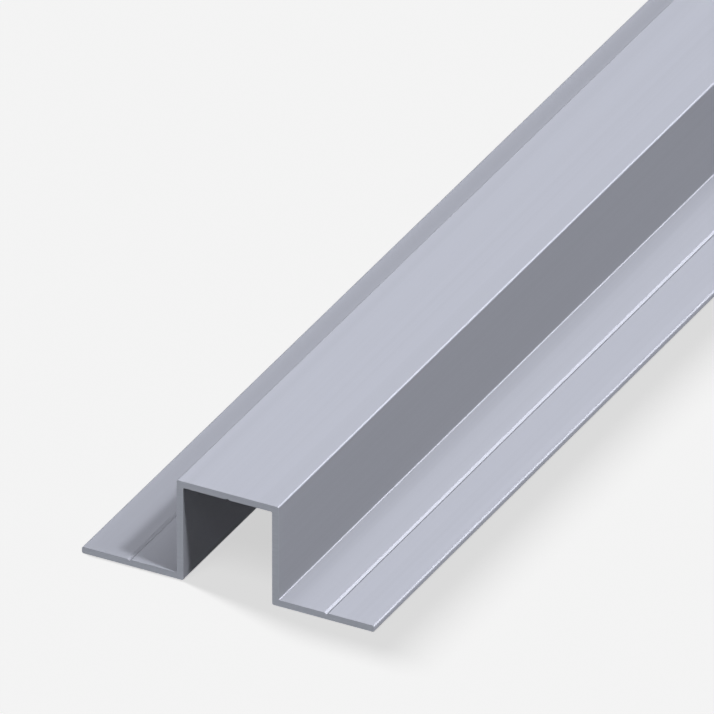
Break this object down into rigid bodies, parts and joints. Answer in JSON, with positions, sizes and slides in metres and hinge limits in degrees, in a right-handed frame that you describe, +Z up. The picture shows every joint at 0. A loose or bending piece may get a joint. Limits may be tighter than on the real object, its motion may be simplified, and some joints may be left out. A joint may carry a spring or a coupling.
{
  "type": "aluminium extrusion profile",
  "caption": "Straight hat-section aluminium extrusion: a raised crown on two webs, a flat flange at each foot, and shallow scribed drilling lines.",
  "frame": {"origin": "mid length, on the section's centre line, in the plane of the flange undersides", "axes": "+Y along the length of the bar, +Z up towards the crown, +X across the section"},
  "size_m": [0.0676, 1, 0.0235],
  "materials": {
    "anodised_aluminium": "natural satin anodised, sawn ends"
  },
  "bodies": {
    "root": {"hat_profile": "anodised_aluminium"}
  },
  "joints": []
}
